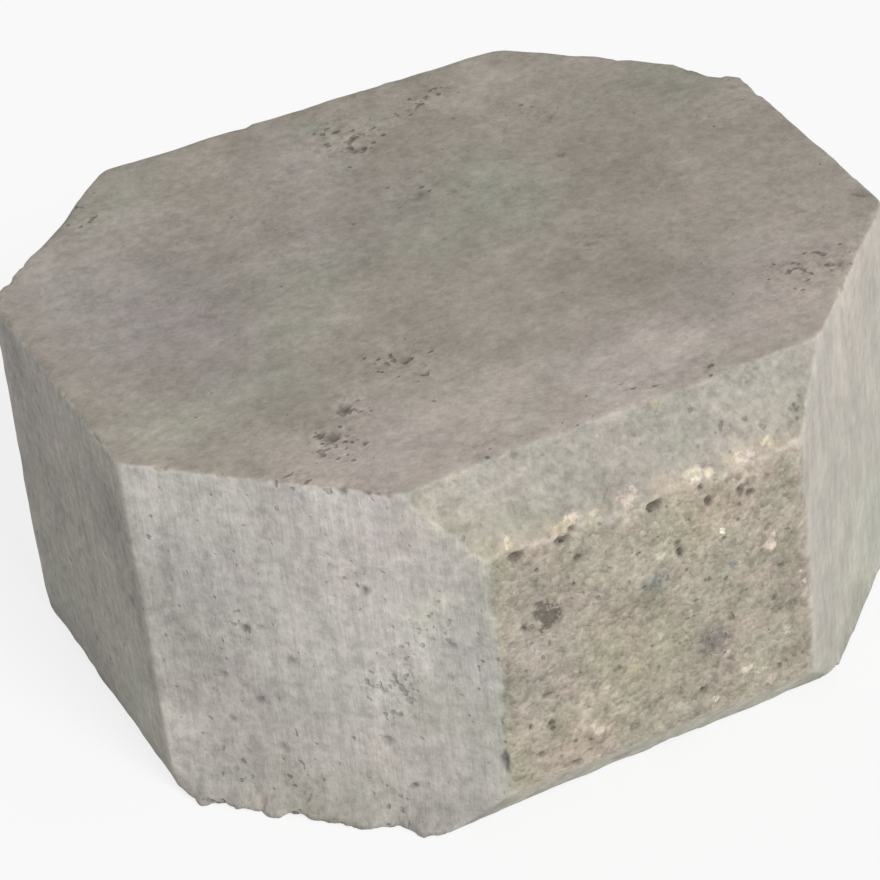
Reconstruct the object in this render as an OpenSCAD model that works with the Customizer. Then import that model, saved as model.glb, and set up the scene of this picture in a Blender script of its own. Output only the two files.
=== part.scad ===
// Retaining-wall cap block, cast in one piece from dry concrete.
// Its plan is a regular octagon. Six sides are plain moulded faces. The front
// and back sides are split faces: the mould has a ridge along their top and
// bottom edges, and the casting is broken from one ridge to the other, so
// that each rough face stands between a bevel above and a bevel below.
// Millimetres. +Z is up, the front split face looks to -Y, and the origin is
// the centre of the bed face.

/* [Block] */
// Width across opposite sides of the octagon
across_flats = 210; // [190:1:320]
// Height from the bed to the top face
block_height = 100; // [90:1:150]
// Radius of the upright arrises, as the mould's corners leave them
arris_radius = 1.6; // [0.5:0.1:4]
// Width of the wear along the top and bottom arrises
arris_wear = 0.8; // [0.3:0.1:2]

/* [Rim] */
// Height of the rim squeezed out at the foot of the front left side
rim_height = 3.5; // [1:0.5:6]

/* [Split faces] */
// How far a bevel sets the top edge back from the split face
bevel_depth = 14; // [8:0.5:20]
// How far a bevel comes down from the top edge
bevel_height = 16.5; // [8:0.5:24]
// Depth of the deepest hollow in a split face
split_relief = 2.6; // [1:0.1:5]
// Distance between the points of the split surface
split_grid = 4; // [3:0.5:6]
// Seed of the front split face's relief
front_seed = 11; // [1:1:99]
// Seed of the back split face's relief
back_seed = 47; // [1:1:99]

/* [Hidden] */
concrete = [0.66, 0.64, 0.60];
half_width = across_flats / 2;
corner_reach = half_width / cos(22.5);
// Distance from the axis to the bed's corner beside a bottom bevel
bevel_corner = norm([
    half_width * tan(22.5) + bevel_depth,
    half_width - bevel_depth
]);
bevel_corner_turn = atan2(
    half_width * tan(22.5) + bevel_depth,
    half_width - bevel_depth
);
arris_steps = 4;

// Chips knocked off the arrises. Each is a scoop, given by the turn of its
// side about Z, the distance of the arris from the axis, the place along the
// arris, whether it is on the top arris, and its depth and radius.
chips = [
    [45, half_width, -38, true, 3.2, 24],
    [135, half_width, 3, true, 1.8, 60],
    [202.5, corner_reach, 0, false, 1.8, 9],
    [270 + bevel_corner_turn, bevel_corner, 0, false, 2.4, 7],
    [315, half_width, 3, false, 1.2, 9]
];

// Outline of the rim at the foot of the front left side: the place along
// the side, and how far the rim stands out there.
rim = [
    [-40, 0], [-37, 2.6], [-32, 1.4], [-22, 1.8], [-16, 3.2], [-13, 1.2],
    [-9, 1], [-6.5, 2.8], [7, 2.6], [13, 1.6], [17, 0.6], [21, 2.2],
    [23.5, 0.4]
];

// Plan of the block: a regular octagon with its eight corners rounded.
module octagon_plan() {
    centre_reach = (half_width - arris_radius) / cos(22.5);
    polygon([
        for (side = [0 : 7], step = [0 : arris_steps])
            let (
                corner = 45 * side + 22.5,
                turn = 45 * (side + step / arris_steps)
            )
            centre_reach * [cos(corner), sin(corner)]
                + arris_radius * [cos(turn), sin(turn)]
    ]);
}

// A slab as thick as the block is wide, and much longer, whose four long
// edges are cut back, by depth along Y and by drop along Z.
module edged_slab(depth, drop) {
    inner = half_width - depth;
    upper = block_height - drop;
    rotate([90, 0, 90])
    linear_extrude(height = 2 * across_flats, center = true)
    polygon([
        [-inner, 0], [inner, 0], [half_width, drop], [half_width, upper],
        [inner, block_height], [-inner, block_height],
        [-half_width, upper], [-half_width, drop]
    ]);
}

// The block as it leaves the mould: the two sides that are to be split have
// their bevels, and the other three pairs only their worn arrises.
module moulded_blank() {
    intersection() {
        linear_extrude(height = block_height) octagon_plan();
        edged_slab(bevel_depth, bevel_height);
        for (pair = [1 : 3])
            rotate([0, 0, 45 * pair]) edged_slab(arris_wear, arris_wear);
    }
}

function smooth_step(t) = t * t * (3 - 2 * t);

// Smooth random height from 0 to 1 at (x, z), between random values that
// stand cell millimetres apart, in lines of row values each.
function lattice_noise(x, z, cell, values, row) =
    let (
        column = floor(x / cell),
        line = floor(z / cell),
        s = smooth_step(x / cell - column),
        t = smooth_step(z / cell - line),
        at = line * row + column,
        low = values[at] * (1 - s) + values[at + 1] * s,
        high = values[at + row] * (1 - s) + values[at + row + 1] * s
    )
    low * (1 - t) + high * t;

// Everything outside a split face. Its inner side is the broken surface, a
// grid of heights that add broad waves to knobs and pockets, and are cut off
// at the plane of the split, so that the block keeps its width.
module split_cutter(seed) {
    columns = ceil(half_width / split_grid) + 2;
    rows = ceil(block_height / split_grid) + 2;
    wave_cell = 24;
    wave_row = 16;
    waves = rands(0, 1, wave_row * 12, seed);
    knob_cell = 7;
    knob_row = 48;
    knobs = rands(0, 1, knob_row * 30, seed + 100);
    inner = [
        for (j = [0 : rows], i = [0 : columns])
            let (
                x = i * split_grid,
                z = j * split_grid,
                wave = lattice_noise(x, z, wave_cell, waves, wave_row),
                knob = lattice_noise(x, z, knob_cell, knobs, knob_row),
                hollow = max(0, 0.55 * wave + 0.65 * knob - 0.2)
            )
            [
                x - columns * split_grid / 2,
                -half_width + split_relief * hollow,
                z - split_grid
            ]
    ];
    outer = [for (p = inner) [p[0], -half_width - 5, p[2]]];
    w = columns + 1;
    n = w * (rows + 1);
    faces = [
        for (j = [0 : rows - 1], i = [0 : columns - 1])
            let (a = j * w + i, b = a + 1, c = a + w, d = c + 1)
            each [
                [a, d, c], [a, b, d],
                [n + a, n + c, n + d], [n + a, n + d, n + b]
            ],
        for (i = [0 : columns - 1])
            let (a = i, b = a + 1, c = rows * w + i, d = c + 1)
            each [
                [a, n + b, b], [a, n + a, n + b],
                [c, d, n + d], [c, n + d, n + c]
            ],
        for (j = [0 : rows - 1])
            let (a = j * w, b = a + w, c = a + columns, d = b + columns)
            each [
                [a, b, n + b], [a, n + b, n + a],
                [c, n + d, d], [c, n + c, n + d]
            ]
    ];
    polyhedron(points = concat(inner, outer), faces = faces);
}

// A ball that grazes an arris, its centre out along the arris's bisector.
module scoop(turn, reach, along, on_top, depth, radius) {
    out = (radius - depth) / sqrt(2);
    level = on_top ? block_height + out : -out;
    rotate([0, 0, turn])
    translate([reach + out, along, level])
    sphere(r = radius, $fn = 48);
}

// The rim: its outline, as high as it goes, cut off by a slope that falls
// away from the side.
module foot_rim() {
    slope_reach = 5;
    root = -2;
    rotate([0, 0, 225])
    translate([half_width, 0, 0])
    intersection() {
        linear_extrude(height = rim_height)
        polygon(concat(
            [[root, rim[0][0]]],
            [for (p = rim) [p[1], p[0]]],
            [[root, rim[len(rim) - 1][0]]]
        ));
        rotate([90, 0, 0])
        linear_extrude(height = across_flats, center = true)
        polygon([
            [root, 0], [slope_reach, 0], [slope_reach, 0.6],
            [0, rim_height], [root, rim_height]
        ]);
    }
}

module cap_block() {
    color(concrete)
    difference() {
        union() {
            moulded_blank();
            foot_rim();
        }
        split_cutter(front_seed);
        rotate([0, 0, 180]) split_cutter(back_seed);
        for (c = chips) scoop(c[0], c[1], c[2], c[3], c[4], c[5]);
    }
}

cap_block();
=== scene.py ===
# %% [markdown]
# # A split-faced concrete wall cap
#
# A wall cap is the block that closes the top of a small garden wall. Caps are pressed from a dry concrete
# mix in a steel mould that holds a row of them, with a ridge of steel above and below each line between two
# blocks. A blow of a splitter along that line then tears one block from the next. So there are four
# finishes in one piece of stone: a rough struck top, moulded sides with drag lines from the lift out of the
# mould, smooth bevels that the ridges left, and a torn face full of broken stones at the front and at the
# back.
#
# The sizes belong to the CAD model. This script keeps its frame, and puts one finely worked mesh of the
# same block in its place. Lengths are worked out in millimetres and turned to metres when the mesh is made.

# %% Load the fixed frame
import itertools
import math

import bpy
import numpy as np
from mathutils import Matrix, Vector


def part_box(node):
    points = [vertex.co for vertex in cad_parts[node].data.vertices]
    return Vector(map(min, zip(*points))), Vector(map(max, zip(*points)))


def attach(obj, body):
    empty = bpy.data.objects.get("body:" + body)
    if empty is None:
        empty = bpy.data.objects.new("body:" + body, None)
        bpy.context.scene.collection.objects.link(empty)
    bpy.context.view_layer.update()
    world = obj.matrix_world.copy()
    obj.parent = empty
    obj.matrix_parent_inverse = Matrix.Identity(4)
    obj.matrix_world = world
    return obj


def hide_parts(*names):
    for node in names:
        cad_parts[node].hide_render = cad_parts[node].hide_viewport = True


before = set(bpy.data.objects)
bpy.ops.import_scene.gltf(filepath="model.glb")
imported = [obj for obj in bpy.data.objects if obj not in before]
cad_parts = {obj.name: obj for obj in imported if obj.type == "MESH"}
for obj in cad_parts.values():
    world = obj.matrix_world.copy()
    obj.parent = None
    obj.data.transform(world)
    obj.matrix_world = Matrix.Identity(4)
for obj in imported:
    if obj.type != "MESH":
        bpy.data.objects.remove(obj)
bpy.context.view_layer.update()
MM = 0.001
block_low, block_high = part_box("cap_block")
block_width = (block_high.x - block_low.x) / MM
block_height = block_high.z / MM
print(f"cap_block is {block_width:.1f} mm across its flats and {block_height:.1f} mm high")

# %% [markdown]
# ## The camera
#
# A camera can be turned by Euler angles, but a tilted product shot is easier to read as three plain facts:
# where round the block it stands, how high it looks down from, and how far it leans over. From those come
# the camera's own three axes, and its matrix is those axes side by side. The long lens keeps the sides
# nearly parallel.

# %% Camera
VIEW_TURN = math.radians(-21.0)
VIEW_RISE = math.radians(33.4)
VIEW_LEAN = math.radians(-7.3)
VIEW_DISTANCE = 1.025
LENS = 160.8
AIM_ASIDE = -0.0049
AIM_UP = -0.0060

backward = Vector(
    (
        math.sin(VIEW_TURN) * math.cos(VIEW_RISE),
        -math.cos(VIEW_TURN) * math.cos(VIEW_RISE),
        math.sin(VIEW_RISE),
    )
)
level_right = Vector((0, 0, 1)).cross(backward).normalized()
level_up = backward.cross(level_right)
camera_right = math.cos(VIEW_LEAN) * level_right + math.sin(VIEW_LEAN) * level_up
camera_up = backward.cross(camera_right)
aim = Vector((0, 0, block_height * MM / 2)) + AIM_ASIDE * camera_right + AIM_UP * camera_up

camera = bpy.data.objects.new("camera", bpy.data.cameras.new("camera"))
camera.data.lens = LENS
camera.matrix_world = Matrix((camera_right, camera_up, backward)).transposed().to_4x4()
camera.location = aim + backward * VIEW_DISTANCE
bpy.context.scene.collection.objects.link(camera)
bpy.context.scene.camera = camera
bpy.context.scene.view_settings.view_transform = "Standard"
print(f"camera stands {VIEW_DISTANCE} m away, {math.degrees(VIEW_RISE):.0f} degrees up")

# %% [markdown]
# ## Light and floor
#
# One broad lamp and a pale sky are enough for a studio picture. A sun lamp with a wide angle is used,
# because its light is equally strong all over and its shadow stays soft. The sky is dimmer than the lamp,
# so that each face of the block gets its own tone. To the eye of the camera the sky is plain white, and the
# floor is mostly white light of its own with some paint left in it, which keeps the shadow.


# %% Small helpers for node trees
def add_node(tree, kind, **settings):
    """A new node of that kind, with the given properties set."""
    node = tree.nodes.new(kind)
    for name, value in settings.items():
        setattr(node, name, value)
    return node


def feed(tree, socket, value):
    """Gives an input socket its value: a link from another socket, a number or a colour."""
    if isinstance(value, bpy.types.NodeSocket):
        tree.links.new(value, socket)
    elif socket.type == "RGBA" and len(value) == 3:
        socket.default_value = (*value, 1)
    else:
        socket.default_value = value


def calc(tree, operation, *values):
    """One sum on numbers, such as ADD or MULTIPLY."""
    node = add_node(tree, "ShaderNodeMath", operation=operation)
    for socket, value in zip(node.inputs, values):
        feed(tree, socket, value)
    return node.outputs[0]


def ramp(tree, value, start, end, low=0.0, high=1.0):
    """A soft step: low below start, high above end, and a smooth rise between."""
    node = add_node(tree, "ShaderNodeMapRange", interpolation_type="SMOOTHSTEP")
    for socket, number in zip(node.inputs, (value, start, end, low, high)):
        feed(tree, socket, number)
    return node.outputs[0]


def mix_colour(tree, share, first, second, how="MIX"):
    """Colour `first` at share 0 and `second`, or their product or sum, at share 1."""
    node = add_node(tree, "ShaderNodeMix", data_type="RGBA", blend_type=how)
    for socket, value in zip((node.inputs[0], node.inputs[6], node.inputs[7]), (share, first, second)):
        feed(tree, socket, value)
    return node.outputs[2]


# %% Lamp, sky and floor
LAMP_TURN = math.radians(10)
LAMP_RISE = math.radians(40)
LAMP_STRENGTH = 2.26
LAMP_SPREAD = math.radians(24)
SKY_STRENGTH = 0.40
FLOOR_SIZE = 12.0
FLOOR_PAINT = (0.86, 0.86, 0.86, 1)
FLOOR_GLOW = 0.80

lamp = bpy.data.objects.new("soft_lamp", bpy.data.lights.new("soft_lamp", "SUN"))
lamp.data.energy = LAMP_STRENGTH
lamp.data.angle = LAMP_SPREAD
lamp.rotation_euler = (math.pi / 2 - LAMP_RISE, 0, LAMP_TURN)
bpy.context.scene.collection.objects.link(lamp)


def seen_by_eye(tree):
    """1 where the camera, or a reflection or a glass, looks straight at the surface."""
    path = add_node(tree, "ShaderNodeLightPath")
    straight = calc(tree, "MAXIMUM", path.outputs["Is Camera Ray"], path.outputs["Is Glossy Ray"])
    return calc(tree, "MAXIMUM", straight, path.outputs["Is Transmission Ray"])


def make_sky():
    """A dim sky for the block, which is plain white to the eye."""
    world = bpy.data.worlds.new("pale_sky")
    world.use_nodes = True
    tree = world.node_tree
    tree.nodes.clear()
    dim = add_node(tree, "ShaderNodeBackground")
    dim.inputs["Strength"].default_value = SKY_STRENGTH
    white = add_node(tree, "ShaderNodeBackground")
    mix = add_node(tree, "ShaderNodeMixShader")
    feed(tree, mix.inputs[0], seen_by_eye(tree))
    feed(tree, mix.inputs[1], dim.outputs[0])
    feed(tree, mix.inputs[2], white.outputs[0])
    out = add_node(tree, "ShaderNodeOutputWorld")
    feed(tree, out.inputs["Surface"], mix.outputs[0])
    for node in (dim, white):
        node.inputs["Color"].default_value = (1, 1, 1, 1)
    return world


def make_floor():
    """A square of pale floor under the block, and to the eye mostly plain white."""
    half = FLOOR_SIZE / 2
    mesh = bpy.data.meshes.new("floor")
    corners = [(-half, -half, 0), (half, -half, 0), (half, half, 0), (-half, half, 0)]
    mesh.from_pydata(corners, [], [(0, 1, 2, 3)])
    floor = bpy.data.objects.new("floor", mesh)
    bpy.context.scene.collection.objects.link(floor)
    paint = bpy.data.materials.new("floor_paint")
    paint.use_nodes = True
    tree = paint.node_tree
    surface = tree.nodes["Principled BSDF"]
    surface.inputs["Base Color"].default_value = FLOOR_PAINT
    surface.inputs["Roughness"].default_value = 0.9
    surface.inputs["Specular IOR Level"].default_value = 0.0
    glow = add_node(tree, "ShaderNodeEmission")
    mix = add_node(tree, "ShaderNodeMixShader")
    feed(tree, mix.inputs[0], calc(tree, "MULTIPLY", seen_by_eye(tree), FLOOR_GLOW))
    feed(tree, mix.inputs[1], surface.outputs[0])
    feed(tree, mix.inputs[2], glow.outputs[0])
    feed(tree, tree.nodes["Material Output"].inputs["Surface"], mix.outputs[0])
    mesh.materials.append(paint)
    return floor


bpy.context.scene.world = make_sky()
make_floor()
print("one soft lamp, a pale sky and a floor of", FLOOR_SIZE, "m")

# %% [markdown]
# ## Noise to carve with
#
# Blender's own textures work while rendering, but the chips and stones of this block have to be in the
# mesh, so the same kinds of noise are written here with numpy. *Value noise* puts a random number on each
# point of a grid and blends between them. *Clouds* add finer and finer layers of it. *Grains* scatter one
# spot in each cell of a grid and ask which spot is nearest, which looks like packed gravel. Every function
# takes all the points at once.

# %% Noise functions
# The grid of the noise is turned, so that no row of it lies along a face of the block.
LATTICE_TURN = np.linalg.qr(np.array([[2.0, 1.0, 0.3], [-1.0, 3.0, 0.7], [0.4, -0.9, 2.5]]))[0]
# Large odd numbers: multiplied by them, cells that lie side by side get numbers far apart.
CELL_STIR = np.array([73856093, 19349663, 83492791], np.uint32)
SEED_STIR = 2654435761
BIT_STIR = np.array([2246822519, 3266489917], np.uint32)
SHARE_BITS = 24


def scatter(cell, seed):
    """A repeatable random number from 0 to 1 for each whole-number cell."""
    x, y, z = (cell[..., axis].astype(np.int64).astype(np.uint32) for axis in range(3))
    mixed = x * CELL_STIR[0] ^ y * CELL_STIR[1] ^ z * CELL_STIR[2]
    mixed = mixed + np.uint32(seed * SEED_STIR % 2**32)
    mixed = (mixed ^ (mixed >> np.uint32(16))) * BIT_STIR[0]
    mixed = (mixed ^ (mixed >> np.uint32(13))) * BIT_STIR[1]
    mixed = mixed ^ (mixed >> np.uint32(16))
    return (mixed & np.uint32(2**SHARE_BITS - 1)) / float(2**SHARE_BITS)


def value_noise(points, size, seed):
    """Random numbers on a grid of that size, blended with the curve 3t^2 - 2t^3, from -1 to 1."""
    place = points @ LATTICE_TURN / size
    cell = np.floor(place)
    part = place - cell
    part = part * part * (3 - 2 * part)
    total = np.zeros(len(points))
    for corner in itertools.product((0, 1), repeat=3):
        share = np.where(np.array(corner) == 1, part, 1 - part).prod(axis=1)
        total += share * scatter(cell + corner, seed)
    return 2 * total - 1


def clouds(points, size, layers, seed, fade=0.5):
    """Value noise added up, each layer half the size of the one before and weaker by fade."""
    total = np.zeros(len(points))
    strength = 1.0
    for layer in range(layers):
        total += strength * value_noise(points, size / 2**layer, seed + 17 * layer)
        strength *= fade
    return total


def grains(points, size, seed):
    """Distance to the nearest of spots scattered one to a cell, in cells, and that spot's own number."""
    place = points @ LATTICE_TURN / size
    cell = np.floor(place)
    nearest = np.full(len(points), 9.0)
    number = np.zeros(len(points))
    for step in itertools.product((-1, 0, 1), repeat=3):
        home = cell + step
        spot = home + np.stack([scatter(home, seed + axis) for axis in range(3)], axis=1)
        distance = np.linalg.norm(place - spot, axis=1)
        closer = distance < nearest
        nearest = np.where(closer, distance, nearest)
        number = np.where(closer, scatter(home, seed + 3), number)
    return nearest, number


sample_line = np.arange(0, 40, 8)[:, None] * [1.0, 0.0, 0.0]
print("clouds of 10 mm, every 8 mm along a line:", clouds(sample_line, 10, 2, 1).round(2))

# %% [markdown]
# ## The outline
#
# Seen from above the block is a regular octagon, but a real one comes out of the mould a little out of
# true: each side is turned by a degree or so and stands a few tenths of a millimetre in or out. So the
# outline is made of eight straight sides, each given by the direction it faces and its distance from the
# middle, and each corner is the point where two neighbours cross. The two torn sides draw in towards the
# top and the bottom by the depth of their bevels.
#
# The sides are numbered round the block, anticlockwise seen from above, and start at the torn front.

# %% The eight sides
FRONT, FRONT_RIGHT, RIGHT, BACK_RIGHT, BACK, BACK_LEFT, LEFT, FRONT_LEFT = range(8)
TORN_SIDES = (FRONT, BACK)
SIDE_TURN = np.radians([2.2, 0.8, -1.4, -1.3, -0.8, -1.0, 0.5, 0.8])
SIDE_SHIFT = np.array([0.6, 0.4, 1.1, 0.8, 0.2, 0.9, 0.4, -0.5])
bevel_depth = block_width / 15
bevel_height = 0.165 * block_height

side_angle = np.radians(-90 + 45 * np.arange(8)) + SIDE_TURN
side_reach = block_width / 2 + SIDE_SHIFT
side_normal = np.stack([np.cos(side_angle), np.sin(side_angle), np.zeros(8)], axis=1)
side_along = np.stack([-np.sin(side_angle), np.cos(side_angle), np.zeros(8)], axis=1)
side_length = block_width * math.tan(math.pi / 8)


def reach_at(levels, inset):
    """Distance of each side from the middle at each level, less an inset: one row for each level."""
    drawn_in = np.maximum(1 - levels / bevel_height, 1 - (block_height - levels) / bevel_height)
    reach = np.tile(side_reach, (len(levels), 1)) - inset[:, None]
    reach[:, TORN_SIDES] -= bevel_depth * np.clip(drawn_in, 0, 1)[:, None]
    return reach


def corners_at(reach):
    """Where each side meets the next: the point that lies at the right distance from both."""
    following = np.roll(reach, -1, axis=1)
    turn = side_angle
    turn_next = np.roll(side_angle, -1)
    x = reach * np.sin(turn_next) - following * np.sin(turn)
    y = following * np.cos(turn) - reach * np.cos(turn_next)
    return np.stack([x, y], axis=2) / np.sin(turn_next - turn)[None, :, None]


print(f"sides {side_length:.1f} mm long, bevels {bevel_depth:.1f} mm deep and {bevel_height:.1f} mm high")
print(f"the right end faces {math.degrees(side_angle[RIGHT]):.1f} degrees, where a true block's faces 0")

# %% [markdown]
# ## A net of points over the block
#
# The mesh could be a cube remeshed finely, but then the arrises, the long edges of the block, would fall
# between its points. Here the net is laid on purpose. Rings of points run round the block, one above the
# other, and close up at every arris and where a bevel meets the torn face. The sides in view get more
# columns than the others.

# %% Rings and columns
SIDE_COLUMNS = (132, 60, 44, 44, 52, 44, 76, 100)
NEAR_CORNER = np.array([0.0, 0.45, 1.0, 1.8, 3.0])
ARRIS_INSETS = np.array([0.5, 1.1, 2.0, 3.5, 6.0])
LEVEL_STOPS = (0.0, 1.2, 4.0, 13.0, 18.0)
LEVEL_STEPS = (3, 3, 8, 8)
MIDDLE_STEPS = 85
BED_SCALES = np.array([0.0, 0.35, 0.62, 0.85])


def side_fractions(count):
    """Shares of the way along one side, 0 at its first corner, closer together near both corners."""
    near = NEAR_CORNER / side_length
    middle = np.linspace(near[-1], 1 - near[-1], count - 2 * len(near) + 3)[1:-1]
    return np.concatenate([near, middle, 1 - near[:0:-1]])


def wall_levels():
    """Heights of the rings up the wall, mirrored about half height."""
    parts = [
        np.linspace(start, end, steps, endpoint=False)
        for start, end, steps in zip(LEVEL_STOPS, LEVEL_STOPS[1:], LEVEL_STEPS)
    ]
    lower = np.concatenate(parts)
    middle = np.linspace(LEVEL_STOPS[-1], block_height - LEVEL_STOPS[-1], MIDDLE_STEPS + 1)
    return np.concatenate([lower, middle, block_height - lower[::-1]])


def ring_points(levels, insets):
    """One ring of points for each level: a share of the way along each side, between its two corners."""
    end = corners_at(reach_at(levels, insets))
    start = np.roll(end, 1, axis=1)
    columns = []
    for side, count in enumerate(SIDE_COLUMNS):
        share = side_fractions(count)[None, :, None]
        columns.append(start[:, side, None] * (1 - share) + end[:, side, None] * share)
    flat = np.concatenate(columns, axis=1)
    height_column = np.broadcast_to(levels[:, None, None], (*flat.shape[:2], 1))
    return np.concatenate([flat, height_column], axis=2)


levels = wall_levels()
bed_insets = ARRIS_INSETS[::-1]
ring_levels = np.concatenate([np.zeros(len(bed_insets)), levels, np.full(len(ARRIS_INSETS), block_height)])
ring_insets = np.concatenate([bed_insets, np.zeros(len(levels)), ARRIS_INSETS])
rings = ring_points(ring_levels, ring_insets)
bed_rings = rings[:1] * (BED_SCALES[1:, None, None] * [1, 1, 0])
rings = np.concatenate([bed_rings, rings])
ring_count, column_count = rings.shape[:2]
print(ring_count, "rings of", column_count, "points")

# %% [markdown]
# Rings drawn in to one point would crowd in the middle of the top, where they would show. So the top is a
# square grid instead, and its rim is the last ring: each place of the grid belongs to a square `shell`,
# which is the rim drawn in, and its `walk` counts the places along that shell. The bed, which nobody sees,
# closes with a few wide rings.


# %% The grid that closes the top
def top_grid(rim):
    """Points inside the rim: each square ring of the grid is the rim drawn in to its share of the way out.

    Returns the new points, and the point number at each place of the grid, where rim points count from 0.
    """
    half = len(rim) // 8
    i, j = np.meshgrid(np.arange(-half, half + 1), np.arange(-half, half + 1), indexing="ij")
    shell = np.maximum(abs(i), abs(j))
    walk = np.select(
        [(j == -shell) & (i < shell), (i == shell) & (j < shell), (j == shell) & (i > -shell)],
        [i + shell, 3 * shell + j, 5 * shell - i],
        7 * shell - j,
    )
    place = walk / np.maximum(8 * shell, 1) * len(rim)
    closed = np.concatenate([rim, rim[:1]])
    steps = np.arange(len(closed))
    around = np.stack([np.interp(place, steps, closed[:, axis]) for axis in range(3)], axis=2)
    drawn_in = around * (shell / half)[..., None] * [1, 1, 0] + [0, 0, block_height]
    inside = shell < half
    number = np.where(inside, 0, walk % len(rim))
    number[inside] = len(rim) + np.arange(inside.sum())
    return drawn_in[inside], number


top_points, top_number = top_grid(rings[-1])
top_number = top_number + (ring_count - 1) * column_count
bed_middle = np.zeros((1, 3))
net = np.concatenate([rings.reshape(-1, 3), top_points, bed_middle])
print(len(net), "points, of which", len(top_points), "on the top")

# %% [markdown]
# ## The faces as planes
#
# A convex block is all the points that lie behind every one of its planes. Its surface can then be written
# as one sum: the largest of the distances to the planes is zero. Two changes turn this clean prism into
# cast stone. The distances are joined by a *soft* largest value, which rounds every arris, more where it is
# worn. And each plane is not flat but has a relief, so a rough plane meets a smooth one in a ragged line,
# as a torn face meets its bevel.


# %% Planes of the block
def bevel_plane(side, upward):
    """The bevel over (upward 1) or under (upward -1) a torn side: a sloping plane through the side's edge."""
    normal = bevel_height * side_normal[side] + np.array([0, 0, upward * bevel_depth])
    edge_level = block_height - bevel_height if upward > 0 else bevel_height
    edge_point = side_reach[side] * side_normal[side] + np.array([0, 0, edge_level])
    normal = normal / np.linalg.norm(normal)
    return normal, normal @ edge_point


TOP_PROUD = 0.3
bevels = [bevel_plane(side, upward) for side in TORN_SIDES for upward in (1, -1)]
plane_normal = np.concatenate([side_normal, [[0, 0, 1], [0, 0, -1]], [normal for normal, _ in bevels]])
plane_reach = np.concatenate([side_reach, [block_height + TOP_PROUD, 0.0], [reach for _, reach in bevels]])
TOP, BED, FRONT_TOP_BEVEL, FRONT_FOOT_BEVEL, BACK_TOP_BEVEL, BACK_FOOT_BEVEL = range(8, 14)
BEVELS = [FRONT_TOP_BEVEL, FRONT_FOOT_BEVEL, BACK_TOP_BEVEL, BACK_FOOT_BEVEL]
MOULDED = [side for side in range(8) if side not in TORN_SIDES]
print(len(plane_normal), "planes")

# %% Soft largest distance
NEWTON_STEPS = 14
LEAST_SLOPE = 0.3
WIDE_BLEND = 2.4


def soft_largest(distances, softness):
    """Log of the sum of exp: the largest distance, rounded where two nearly tie, and the share of each."""
    top = distances.max(axis=1, keepdims=True)
    weight = np.exp((distances - top) / softness[:, None])
    total = weight.sum(axis=1, keepdims=True)
    return top[:, 0] + softness * np.log(total[:, 0]), weight / total


def settle(points, outward, relief, softness):
    """Slides each point along its outward line until the soft largest distance is zero, by Newton's steps."""
    start = points @ plane_normal.T - plane_reach - relief
    slope = outward @ plane_normal.T
    slid = np.zeros(len(points))
    for _ in range(NEWTON_STEPS):
        value, share = soft_largest(start + slid[:, None] * slope, softness)
        slid -= value / np.maximum((share * slope).sum(axis=1), LEAST_SLOPE)
    return points + slid[:, None] * outward


_, share = soft_largest(net @ plane_normal.T - plane_reach, np.full(len(net), WIDE_BLEND))
outward = share @ plane_normal
outward /= np.linalg.norm(outward, axis=1, keepdims=True)
print("outward lines turn from one face to the next over about", WIDE_BLEND, "mm")

# %% [markdown]
# ## Relief of each finish
#
# The torn face is the one that sells the block. Concrete breaks in long waves, because the crack wanders,
# and within a wave it goes round the stones or pulls them out, so it has lumps, domes and sockets. A
# displacement texture could give that too, but the ragged line where the torn face meets its bevel has to be
# worked out from the relief, so the relief is an array of numbers. Grain finer than a millimetre is left to
# the material's bump.


# %% Relief of the torn face
def from_edges(points, side, reach):
    """0 on the upright edges of a side, rising smoothly to 1 at that distance from them."""
    inward = side_length / 2 - abs(points @ side_along[side])
    part = np.clip(inward / reach, 0, 1)
    return part * part * (3 - 2 * part)


def torn_relief(points, side, seed):
    """Long waves + lumps + stones standing proud of the paste or pulled out of it + grit.

    The mould guides the crack along the upright edges, and the bevels along the others, so waves fade there.
    """
    flat = points * [1, 0, 1] + [0, seed, 0]
    middle = np.clip(np.minimum(points[:, 2], block_height - points[:, 2]) / bevel_height - 1, 0, 1)
    inner = from_edges(points, side, 12)
    waves = 0.8 * clouds(flat, 34, 3, seed) * inner * (0.45 + 0.55 * middle)
    lumps = 0.40 * clouds(flat, 10, 2, seed + 5)
    nearest, number = grains(flat, 5.2, seed + 9)
    dome = np.clip(0.78 - nearest, 0, 1)
    stones = np.where(number > 0.62, 0.55 * dome, 0) - np.where(number < 0.22, 0.8 * dome, 0)
    nearest, number = grains(flat, 2.1, seed + 13)
    gravel = 0.45 * (number - 0.5) * np.clip(0.85 - nearest, 0, 1)
    grit = 0.10 * clouds(flat, 1.7, 2, seed + 21)
    return waves + (0.25 + 0.75 * from_edges(points, side, 5)) * (lumps + stones + gravel) + grit


front_middle = np.array([[0, -side_reach[FRONT], block_height / 2]])
print("torn relief in the middle of the front:", torn_relief(front_middle, FRONT, 11).round(2), "mm")

# %% [markdown]
# Wet mix creeps under the foot of the mould and stays as a ragged rim of crumbs along the front left side.
# In the list below each entry is a place along that side and how far the crumbs push there. Near the foot
# the points slide out on a slant and the bed stops them, so the rim ends up at about a third of the push,
# some 1 to 3 mm.

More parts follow.
